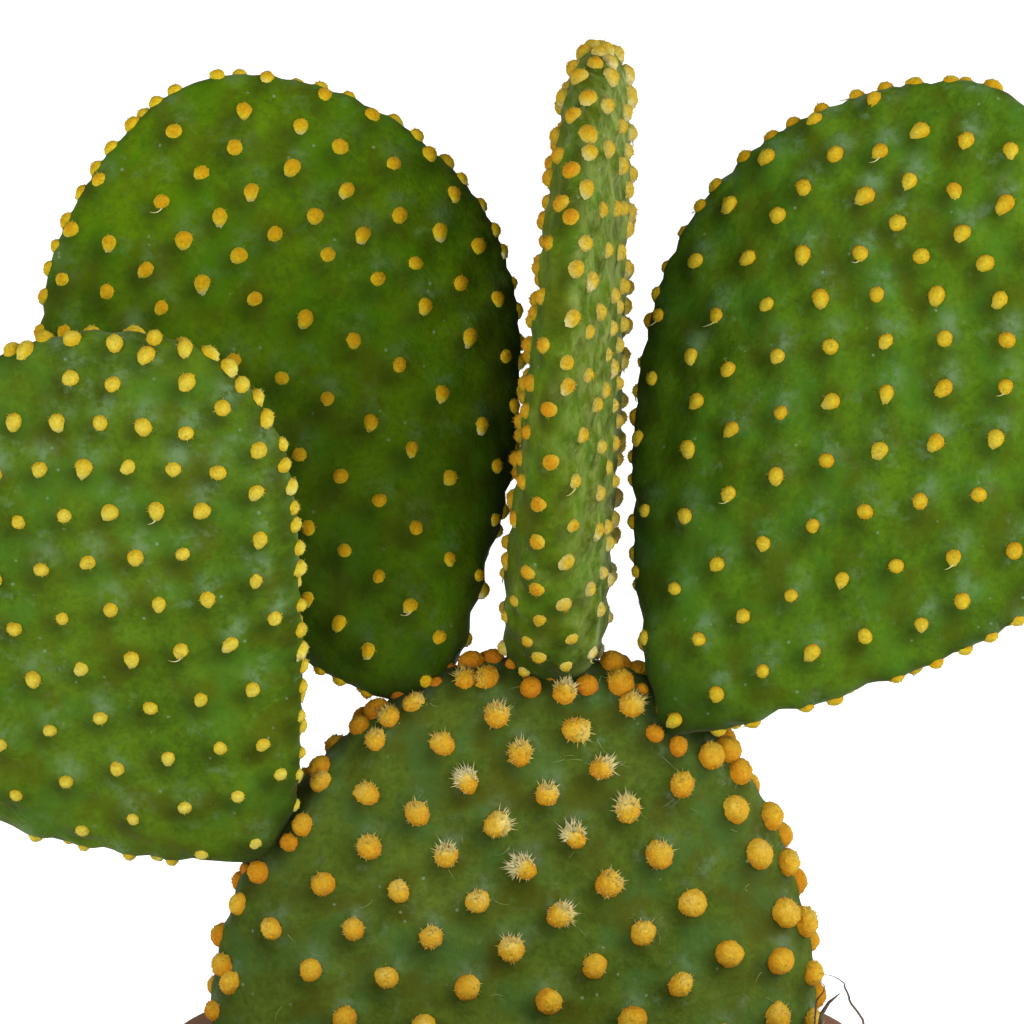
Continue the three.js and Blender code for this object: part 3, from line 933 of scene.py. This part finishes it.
def wear(place, normal):
    """How worn the tufts are there: most at the upper middle of both faces."""
    if abs(normal[1]) < FACE_NORMAL:
        return 0.0
    x = (place[0] - WORN_CENTRE[0]) / WORN_REACH[0]
    z = (place[2] - WORN_CENTRE[1]) / WORN_REACH[1]
    return exp(-(x**2) - z**2)


def old_dark(place, normal, size):
    """How much darker a tuft is: small and high up, where it is crowded, partly as painted shade, and on
    the rim's left, as painted shade.
    """
    on_left = abs(normal[1]) < FACE_NORMAL and place[0] < 0
    heart = np.clip((place[2] - HEART_ABOVE) / HEART_SPAN, 0, 1)
    return SMALL_DARK * (size < 1) + LEFT_DARK * on_left + HEART_DARK * heart


def old_bristles(gather, place, normal, radius, worn, dark, toward, draw):
    """The bristles of one cushion: short all over, and long on the upper side where it is worn."""
    right, down = basis(normal)
    for _ in range(int(OLD_BRISTLES * (0.6 + 2.6 * worn))):
        turn = toward + draw.normal() * (2.6 - 1.7 * worn)
        tilt = draw.uniform(0.2 + 0.6 * worn, 1.55)
        way = outwards(right, down, normal, turn, tilt)
        upper = max(cos(turn - toward), 0) * sin(tilt)
        root = place + way * radius * (0.85 + 0.35 * worn * upper)
        short, long = draw.uniform(0.18, 0.3), draw.uniform(0.05, 1.0)
        reach = short + worn * long * (0.2 + 0.8 * upper)
        way = way + 0.35 * worn * draw.normal(size=3)
        tone = 0.5 - dark + worn * (0.4 + 0.3 * upper)
        spike(gather, root, root + way * radius * reach, 0.1 + 0.05 * worn, (tone, tone + 0.15))


def old_tufts(name, places, normals, sizes):
    """The big orange-yellow cushions of the lowest pad, pale brushes where the pad is worn."""
    draw = np.random.default_rng(SEED)
    gather = Gather()
    template = dome_template(*OLD_DOME)
    polar, around, _ = template
    for place, normal, size in zip(places, normals, sizes):
        worn = np.clip(wear(place, normal) * draw.uniform(*WORN_SPREAD), WORN_STRAY * draw.random(), 1)
        worn = worn * (WORN_SMALL if size < 1 else 1)
        radius = TUFT_RADIUS[name] * size * draw.uniform(*OLD_SPREAD) * rising(OLD_SHRINK, worn)
        if size == 1:
            radius *= 1 + SWELL_RIGHT * place[0] / SWELL_SPAN
        toward = -pi / 2 + draw.normal() * OLD_LEAN
        brush = np.clip(np.cos(around - toward), 0, 1) * np.sin(polar)
        # Darker where crowded and in painted shade
        dark = old_dark(place, normal, size)
        ball = draw.uniform(*OLD_TONES) - OLD_RIM_TONE * np.sin(polar) ** 3
        tone = ball - dark + WORN_RIM_TONE * brush + worn * rising(WORN_TONE, brush)
        rough = rising(OLD_ROUGH, worn)
        button(gather, template, place, normal, radius, draw, rough, tone, OLD_PULL * worn, toward)
        old_bristles(gather, place, normal, radius, worn, dark, toward, draw)
    return gather.object(name + "_tufts")


def stray_hairs(name):
    """Shed bristles lying on a pad's skin."""
    draw = np.random.default_rng(HAIR_SEED)
    pad = PADS[name]
    gather = Gather()
    left = HAIR_COUNT
    while left:
        t, angle = draw.uniform(0.45, 0.99), draw.uniform(0.15, 3.0) * draw.choice([1, -1])
        place, normal = skin_points(pad, t, angle), normal_at(pad, t, angle)
        if place[2] < SOIL_TOP + HAIR_ABOVE_SOIL or draw.random() > HAIR_ANYWHERE + wear(place, normal):
            continue
        left -= 1
        right, down = basis(normal)
        a = draw.uniform(0, pi)
        way = cos(a) * right + sin(a) * down
        side = np.cross(way, normal)
        length, bow = draw.uniform(0.8, 2.8), draw.uniform(-0.6, 0.6)
        s = np.linspace(-0.5, 0.5, HAIR_STEPS)
        bowed = np.outer(bow * (0.5**2 - s**2) * length, side)
        path = place + np.outer(s * length, way) + bowed + normal * HAIR_LIFT
        thread(gather, path, width=0.03, tone=1.1)
    return gather.object(name + "_hairs")


# Node helpers
class Nodes:
    """A material's node tree, with short calls for the nodes used here."""

    def __init__(self, name):
        self.material = bpy.data.materials.new(name)
        self.material.use_nodes = True
        self.tree = self.material.node_tree
        self.shader = self.tree.nodes["Principled BSDF"]
        self.place = self.tree.nodes.new("ShaderNodeTexCoord").outputs["Object"]

    def link(self, a, b):
        self.tree.links.new(a, b)

    def feed(self, socket, value):
        """Gives a socket a number, a colour or another node's output."""
        if isinstance(value, (int, float)):
            socket.default_value = value
        elif isinstance(value, tuple):
            socket.default_value = (*value, 1)
        else:
            self.link(value, socket)

    def add(self, kind, output, inputs, **settings):
        """The named output of a new node of a kind, with its settings and inputs."""
        n = self.tree.nodes.new("ShaderNode" + kind)
        for key, value in settings.items():
            setattr(n, key, value)
        for key, value in inputs.items():
            self.feed(n.inputs[key], value)
        return n.outputs[output]

    def noise(self, scale, detail=3.0, rough=0.5):
        inputs = {"Vector": self.place, "Scale": scale, "Detail": detail, "Roughness": rough}
        return self.add("TexNoise", "Fac", inputs)

    def cells(self, scale):
        return self.add("TexVoronoi", "Distance", {"Vector": self.place, "Scale": scale})

    def attribute(self, name):
        return self.add("Attribute", "Fac", {}, attribute_name=name)

    def range(self, value, low, high, least=0.0, most=1.0):
        """least where a value is under low, rising smoothly to most where it is over high."""
        inputs = {"Value": value, "From Min": low, "From Max": high, "To Min": least, "To Max": most}
        return self.add("MapRange", "Result", inputs, interpolation_type="SMOOTHSTEP")

    def patches(self, scale, detail=3.0, rough=0.5, low=0.3, high=0.7, least=0.0, most=1.0):
        """The same for a noise."""
        return self.range(self.noise(scale, detail, rough), low, high, least, most)

    def layer(self, under, tint, scale, **patches):
        """A colour with a tint over it in the patches of a noise."""
        return self.mix(self.patches(scale, **patches), under, tint)

    def times(self, a, b):
        return self.add("Math", "Value", {0: a, 1: b}, operation="MULTIPLY")

    def larger(self, a, b):
        return self.add("Math", "Value", {0: a, 1: b}, operation="MAXIMUM")

    def mix(self, factor, a, b, blend="MIX"):
        inputs = {"Factor": factor, "A": a, "B": b}
        return self.add("Mix", "Result", inputs, data_type="RGBA", blend_type=blend)

    def bump(self, height, strength, distance, under=None):
        inputs = {"Height": height, "Strength": strength, "Distance": distance}
        if under:
            inputs["Normal"] = under
        return self.add("Bump", "Normal", inputs)

    def finish(self, colour, roughness, normal=None, **fixed):
        self.link(colour, self.shader.inputs["Base Color"])
        self.feed(self.shader.inputs["Roughness"], roughness)
        if normal:
            self.link(normal, self.shader.inputs["Normal"])
        for key, value in fixed.items():
            self.shader.inputs[key.replace("_", " ")].default_value = value
        return self.material


def srgb(red, green, blue):
    """Scene colour from the 0 to 255 numbers of a picture."""
    values = []
    for v in (red, green, blue):
        c = v / 255
        values.append(c / 12.92 if c <= 0.04045 else ((c + 0.055) / 1.055) ** 2.4)
    return tuple(values)


def tinted(colour, *factors):
    """A colour times one factor for all its channels, or times one for each."""
    return tuple(c * f for c, f in zip(colour, factors * 3))


# Materials
def skin_material(name, dark, light, bloom, bloom_and_highlight_amount):
    """Velvety green skin: mottled, with a painted shadow below the tufts, a bluish bloom and painted
    highlight above them, and painted shade beside the other pads.
    """
    n = Nodes(name)
    dark, light, bloom = srgb(*dark), srgb(*light), srgb(*bloom)
    colour = n.layer(dark, light, scale=70, detail=4, rough=0.6)
    colour = n.layer(colour, tinted(light, 1.4), scale=600, detail=5, rough=0.7, most=0.45)
    colour = n.layer(colour, tinted(dark, 0.6), scale=1300, detail=2, low=0.45, most=0.28)
    colour = n.layer(colour, tinted(dark, *WARM_TINT), scale=170, low=0.46, high=0.66, most=0.66)
    colour = n.layer(colour, tinted(light, *COOL_TINT), scale=130, low=0.48, high=0.68, most=0.55)
    # Painted shadow at the lower left of each tuft
    foot = n.times(n.attribute("foot"), FOOT_AMOUNT)
    colour = n.mix(foot, colour, tinted(dark, *FOOT_TINT))
    # Painted highlight with bloom above the tufts, and painted light on the middle pad, over random patches
    # of bloom
    frost = n.patches(scale=330, detail=5, rough=0.7, low=0.38, high=0.64)
    crown = n.times(n.times(n.attribute("crown"), frost), CROWN_AMOUNT * bloom_and_highlight_amount)
    patches = n.patches(scale=230, detail=6, rough=0.7, low=0.56, high=0.76, most=bloom_and_highlight_amount)
    colour = n.mix(n.larger(crown, patches), colour, bloom)
    specks = n.range(n.cells(480), low=0.07, high=0.16, least=0.5, most=0.0)
    thin = n.patches(scale=300, detail=2, low=0.54, high=0.62)
    colour = n.mix(n.times(specks, thin), colour, srgb(130, 150, 120))
    # Painted shade beside the other pads, on the lowest pad's left side and on the right pad's lower part
    shade = n.times(n.attribute("shade"), SHADE_AMOUNT)
    colour = n.mix(shade, colour, tinted(dark, SHADE_TINT))
    grain = n.bump(n.noise(2400, rough=0.7), strength=0.4, distance=0.0002)
    pebble = n.bump(n.noise(480, detail=5, rough=0.6), strength=0.6, distance=0.0008, under=grain)
    rough = n.patches(scale=400, least=0.6, most=0.78)
    velvet = {"Sheen_Weight": 0.14, "Sheen_Roughness": 0.35, "Sheen_Tint": (0.75, 0.7, 0.5, 1)}
    return n.finish(colour, rough, pebble, Specular_IOR_Level=0.06, **velvet)


def tuft_material(name, deepest, *paler):
    """Bristle cushions: brown where crowded and in painted shade, then orange, yellow and paler to their
    tips and in painted light.
    """
    n = Nodes(name)
    tone = n.attribute("tone")
    colour = srgb(*deepest)
    for (low, high), tint in zip(TUFT_STEPS, paler):
        colour = n.mix(n.range(tone, low, high), colour, srgb(*tint))
    grit = n.patches(scale=2600, rough=0.7, least=0.82, most=1.1)
    grey = n.add("CombineColor", "Color", {0: grit, 1: grit, 2: grit})
    colour = n.mix(1.0, colour, grey, "MULTIPLY")
    bump = n.bump(n.noise(3200, rough=0.7), strength=0.7, distance=0.0003)
    return n.finish(colour, 0.8, bump, Specular_IOR_Level=0.1)


def strand_material(name, one, other, scale, rough, shine):
    """Thin hairs and fibres, of two colours in patches."""
    n = Nodes(name)
    colour = n.layer(srgb(*one), srgb(*other), scale=scale, detail=2, low=0.4, high=0.6)
    return n.finish(colour, rough, Specular_IOR_Level=shine)


def clay_material():
    """Fired clay with pale mineral bloom and fine pores."""
    n = Nodes("fired_clay")
    colour = n.layer(srgb(132, 90, 64), srgb(154, 106, 78), scale=28, detail=5, rough=0.6)
    bloom = dict(scale=45, detail=7, rough=0.7, low=0.52, high=0.74, most=0.55)
    colour = n.layer(colour, srgb(176, 146, 124), **bloom)
    pores = dict(scale=1500, rough=0.7, low=0.28, high=0.42, least=0.35, most=0.0)
    colour = n.layer(colour, srgb(92, 60, 42), **pores)
    bump = n.bump(n.noise(1400, detail=4, rough=0.7), strength=0.35, distance=0.0004)
    bump = n.bump(n.noise(180), strength=0.2, distance=0.0008, under=bump)
    rough = n.patches(scale=90, detail=4, least=0.72, most=0.92)
    return n.finish(colour, rough, bump, Specular_IOR_Level=0.3)


def soil_material(name, dark, light):
    """Crumbly potting mix."""
    n = Nodes(name)
    colour = n.layer(srgb(*dark), srgb(*light), scale=300, detail=6, rough=0.7)
    crumb = n.range(n.cells(900), low=0.05, high=0.3, least=0.5, most=0.0)
    colour = n.mix(crumb, colour, srgb(126, 100, 84))
    bump = n.bump(n.noise(1100, detail=5, rough=0.75), strength=0.8, distance=0.001)
    return n.finish(colour, 0.95, bump, Specular_IOR_Level=0.15)


def paint(piece, material, node):
    """Gives a piece its material, hides the CAD node it stands for, and lets it ride on the frame."""
    piece.data.materials.clear()
    piece.data.materials.append(material)
    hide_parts(node)
    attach(piece, "root")


# Pot
def lathe(profile, sides):
    """Vertices and triangles of a surface of revolution about Z, from [radius, height] pairs."""
    verts = []
    for r, z in profile:
        for k in range(sides):
            a = 2 * pi * k / sides
            verts.append((r * cos(a), r * sin(a), z))
    return np.array(verts, float), ring_faces(len(profile), sides)


def rounded(profile, radius, steps=4):
    """profile with each inner corner rounded by an arc-like curve of that size."""
    points = [np.array(p, float) for p in profile]
    out = [points[0]]
    for before, here, after in zip(points, points[1:], points[2:]):
        a, b = before - here, after - here
        reach = min(radius, 0.45 * np.linalg.norm(a), 0.45 * np.linalg.norm(b))
        start, end = here + a / np.linalg.norm(a) * reach, here + b / np.linalg.norm(b) * reach
        for k in range(steps + 1):
            s = k / steps
            out.append((1 - s) ** 2 * start + 2 * s * (1 - s) * here + s**2 * end)
    out.append(points[-1])
    return out


def divided(profile, pitch):
    """profile with points added on its longer stretches."""
    dense = [profile[0]]
    for a, b in zip(profile, profile[1:]):
        parts = max(1, int(np.linalg.norm(b - a) / pitch))
        dense += [a + (b - a) * k / parts for k in range(1, parts + 1)]
    return dense


def wall_inside(z):
    share = (z - POT_FLOOR) / (POT_HEIGHT - POT_FLOOR)
    foot = POT_FOOT_RADIUS - POT_WALL
    lip = POT_LIP_RADIUS - POT_BAND_STEP - POT_WALL
    return foot + (lip - foot) * share


def pot():
    """The clay pot, a little uneven from the wheel."""
    under_band = POT_LIP_RADIUS - POT_BAND_STEP
    band_foot = POT_HEIGHT - POT_BAND_HEIGHT
    at_band = POT_FOOT_RADIUS + (under_band - POT_FOOT_RADIUS) * band_foot / POT_HEIGHT
    profile = [
        (AXIS_RADIUS, 0),
        (POT_FOOT_RADIUS, 0),
        (at_band, band_foot),
        (POT_LIP_RADIUS - POT_BAND_TAPER, band_foot + POT_BAND_RISE),
        (POT_LIP_RADIUS, POT_HEIGHT),
        (wall_inside(POT_HEIGHT), POT_HEIGHT),
        (wall_inside(POT_FLOOR), POT_FLOOR),
        (AXIS_RADIUS, POT_FLOOR),
    ]
    verts, faces = lathe(divided(rounded(profile, POT_ROUNDING), POT_PITCH), POT_SIDES)
    marks = WHEEL_DEPTH * lumps(verts * WHEEL_STRETCH, WHEEL_SIZE, WHEEL_SEED)
    marks = marks + POT_SWELL * lumps(verts, POT_SWELL_SIZE, WHEEL_SEED + 1)
    r = np.hypot(verts[:, 0], verts[:, 1])
    marked = (r > SMOOTH_WITHIN) & (verts[:, 2] > SMOOTH_UNDER)
    verts = verts + np.where(marked, marks, 0)[:, None] * verts * [1, 1, 0] / np.maximum(r, 1)[:, None]
    made = mesh_object("pot_clay", verts, outward(verts, faces))
    cut_drains(made)
    return made


def cut_drains(piece):
    """Cuts the ring of drainage holes through the pot's floor."""
    cutters = Gather()
    low, high = -DRAIN_PAST, POT_FLOOR + DRAIN_PAST
    profile = [(AXIS_RADIUS, low), (DRAIN_RADIUS, low), (DRAIN_RADIUS, high), (AXIS_RADIUS, high)]
    for k in range(DRAIN_COUNT):
        a = 2 * pi * (k + 0.5) / DRAIN_COUNT
        verts, faces = lathe(profile, DRAIN_SIDES)
        verts = verts + [DRAIN_RING_RADIUS * cos(a), DRAIN_RING_RADIUS * sin(a), 0]
        cutters.add(verts, outward(verts - verts.mean(0), faces), 0)
    cutter = cutters.object("drain_cutter")
    cut = piece.modifiers.new("drains", "BOOLEAN")
    cut.operation = "DIFFERENCE"
    cut.object = cutter
    cut.solver = "EXACT"
    with bpy.context.temp_override(object=piece, active_object=piece, selected_objects=[piece]):
        bpy.ops.object.modifier_apply(modifier=cut.name)
    bpy.data.objects.remove(cutter)


# Soil
def soil_height(x, y):
    share = np.hypot(x, y) / wall_inside(SOIL_TOP)
    return SOIL_TOP + SOIL_MOUND * (1 - share**2)


def soil_place(draw, margin, whole_turn):
    """A random place on the soil, at least a margin away from the pot's wall."""
    r = (wall_inside(SOIL_TOP) - margin) * sqrt(draw.random())
    a = draw.uniform(0, whole_turn)
    return r * cos(a), r * sin(a)


def soil_surface():
    """The crumbly top of the potting mix, closed below."""
    rim = wall_inside(SOIL_TOP) - SOIL_GAP
    shares = np.linspace(0, 1, SOIL_RINGS + 1)[1:]
    a = 2 * np.pi * np.arange(SOIL_SIDES) / SOIL_SIDES
    x = np.outer(shares * rim, np.cos(a)).ravel()
    y = np.outer(shares * rim, np.sin(a)).ravel()
    points = np.stack([x, y, soil_height(x, y)], 1)
    points[:, 2] += layered_lumps(points, SOIL_LUMPS, SOIL_SEED) - SOIL_DROP
    bottom = points[-SOIL_SIDES:] * [SOIL_TAPER, SOIL_TAPER, 0] + [0, 0, SOIL_TOP - SOIL_DEPTH]
    centres = [(0, 0, soil_height(0, 0)), (0, 0, SOIL_TOP - SOIL_DEPTH)]
    verts = np.vstack([points, bottom, centres])
    faces = closed_faces(SOIL_RINGS + 1, SOIL_SIDES)
    return mesh_object("soil_top", verts, outward(verts - [0, 0, SOIL_TOP], faces))


def crumbs():
    """Lumps of peat and bark on the soil."""
    draw = np.random.default_rng(CRUMB_SEED)
    gather = Gather()
    polar, around, faces = dome_template(*CRUMB_DOME)
    dome = np.stack([np.sin(polar) * np.cos(around), np.sin(polar) * np.sin(around), np.cos(polar)], 1)
    for _ in range(CRUMB_COUNT):
        x, y = soil_place(draw, CRUMB_MARGIN, 2 * pi)
        size = draw.uniform(0.4, 1.5) * draw.uniform(0.6, 1.1)
        shape = dome * (1 + CRUMB_ROUGH * draw.normal(size=(len(dome), 1)))
        shape *= [draw.uniform(*stretch) for stretch in CRUMB_STRETCH]
        spin = draw.uniform(0, WHOLE_TURN)
        c, s = cos(spin), sin(spin)
        turn = np.array([[c, -s, 0], [s, c, 0], [0, 0, 1]])
        verts = size * shape @ turn + [x, y, soil_height(x, y) + CRUMB_LIFT * size]
        gather.add(verts, faces, draw.random())
    return gather.object("soil_crumbs")


def fibres():
    """Dry rootlets standing at the pot's right-hand side and lying on the soil."""
    draw = np.random.default_rng(FIBRE_SEED)
    gather = Gather()
    for path, width in STANDING_FIBRES:
        path = np.array(path)
        s = np.linspace(0, len(path) - 1, STANDING_STEPS)
        fine = np.stack([np.interp(s, np.arange(len(path)), path[:, k]) for k in range(3)], 1)
        thread(gather, fine, width, tone=0)
    s = np.linspace(0, 1, LYING_STEPS)
    for _ in range(LYING_COUNT):
        from_x, from_y = soil_place(draw, LYING_MARGIN, WHOLE_TURN)
        way = draw.uniform(0, WHOLE_TURN)
        length, bow = draw.uniform(4, 12), draw.uniform(-0.6, 0.6)
        x = from_x + length * (s * cos(way) - bow * s * (1 - s) * sin(way))
        y = from_y + length * (s * sin(way) + bow * s * (1 - s) * cos(way))
        wave = np.sin(5 * s + draw.uniform(*WAVE_START))
        z = soil_height(x, y) + 0.6 + 0.4 * wave
        thread(gather, np.stack([x, y, z], 1), width=draw.uniform(0.08, 0.16), tone=0)
    return gather.object("soil_fibres")


# Build
def build():
    for name in PADS:
        places, normals, sizes = tuft_places(name)
        skin = pad_skin(name, places, normals)
        paint(skin, skin_material(name + "_skin", *SKIN_COLOURS[name]), name)
        build_tufts = old_tufts if name == "pad_base" else young_tufts
        tufts = build_tufts(name, places + normals * TUFT_LIFT, normals, sizes)
        paint(tufts, tuft_material(name + "_tuft", *TUFT_COLOURS[name]), name)
    pale_hair = strand_material("pale_hair", (158, 164, 112), (122, 134, 82), 300, rough=0.6, shine=0.3)
    paint(stray_hairs("pad_base"), pale_hair, "pad_base")
    paint(pot(), clay_material(), "pot")
    paint(soil_surface(), soil_material("peat", (58, 42, 36), (98, 74, 62)), "soil")
    paint(crumbs(), soil_material("bark", (88, 62, 50), (134, 100, 82)), "soil")
    fibre = strand_material("dark_fibre", (74, 62, 54), (96, 84, 66), 500, rough=0.8, shine=0.2)
    paint(fibres(), fibre, "soil")


# Stage
def floor():
    """A plain pale floor that fades to white away from the part."""
    size = FLOOR_REACH
    verts = [(-size, -size, 0), (size, -size, 0), (size, size, 0), (-size, size, 0)]
    made = mesh_object("floor", verts, [(0, 1, 2, 3)], smooth=False)
    n = Nodes("pale_floor")
    n.feed(n.shader.inputs["Base Color"], (FLOOR_GREY, FLOOR_GREY, FLOOR_GREY))
    n.feed(n.shader.inputs["Roughness"], 0.9)
    n.feed(n.shader.inputs["Emission Color"], (1, 1, 1))
    far = n.add("VectorMath", "Value", {0: n.place}, operation="LENGTH")
    glow = n.range(far, *FLOOR_GLOW_METRES, most=FLOOR_GLOW)
    n.link(glow, n.shader.inputs["Emission Strength"])
    made.data.materials.append(n.material)


def bearing(azimuth, elevation):
    """The direction away from the part at that bearing, 0 on the camera's side, positive to the right."""
    a, e = radians(azimuth), radians(elevation)
    return Vector((sin(a) * cos(e), -cos(a) * cos(e), sin(e)))


def stand(name, data, aim, away, distance):
    """A lamp or camera at a distance in that direction, aimed at a point."""
    made = bpy.data.objects.new(name, data)
    made.location = (Vector(aim) + away * distance) * MM
    made.rotation_euler = away.to_track_quat("Z", "Y").to_euler()
    bpy.context.scene.collection.objects.link(made)
    return made


def area_light(name, azimuth, elevation, size, power):
    """A square lamp."""
    light = bpy.data.lights.new(name, "AREA")
    light.size = size * MM
    light.energy = power
    stand(name, light, LAMP_AIM, bearing(azimuth, elevation), LAMP_DISTANCE)


def camera():
    """The photo's camera, aimed so that the pot's lip falls on its row of the photo."""
    aim_height = POT_HEIGHT + (PHOTO_LIP_ROW - IMAGE_SIDE / 2) / PIXELS_PER_MM
    data = bpy.data.cameras.new("camera")
    data.sensor_width = SENSOR_MM
    data.lens = SENSOR_MM * PIXELS_PER_MM * CAMERA_DISTANCE / IMAGE_SIDE
    data.clip_start, data.clip_end = CLIP_METRES
    aim = (CAMERA_SHIFT, 0, aim_height)
    made = stand("camera", data, aim, bearing(0, CAMERA_ELEVATION), CAMERA_DISTANCE)
    bpy.context.scene.camera = made


def sky():
    """Even white light from all round."""
    world = bpy.data.worlds.new("soft_sky")
    world.use_nodes = True
    background = world.node_tree.nodes["Background"]
    background.inputs["Color"].default_value = (1, 1, 1, 1)
    background.inputs["Strength"].default_value = SKY_STRENGTH
    bpy.context.scene.world = world
    bpy.context.scene.view_settings.view_transform = "Standard"


build()
floor()
for lamp, setting in LAMPS.items():
    area_light(lamp, *setting)
camera()
sky()
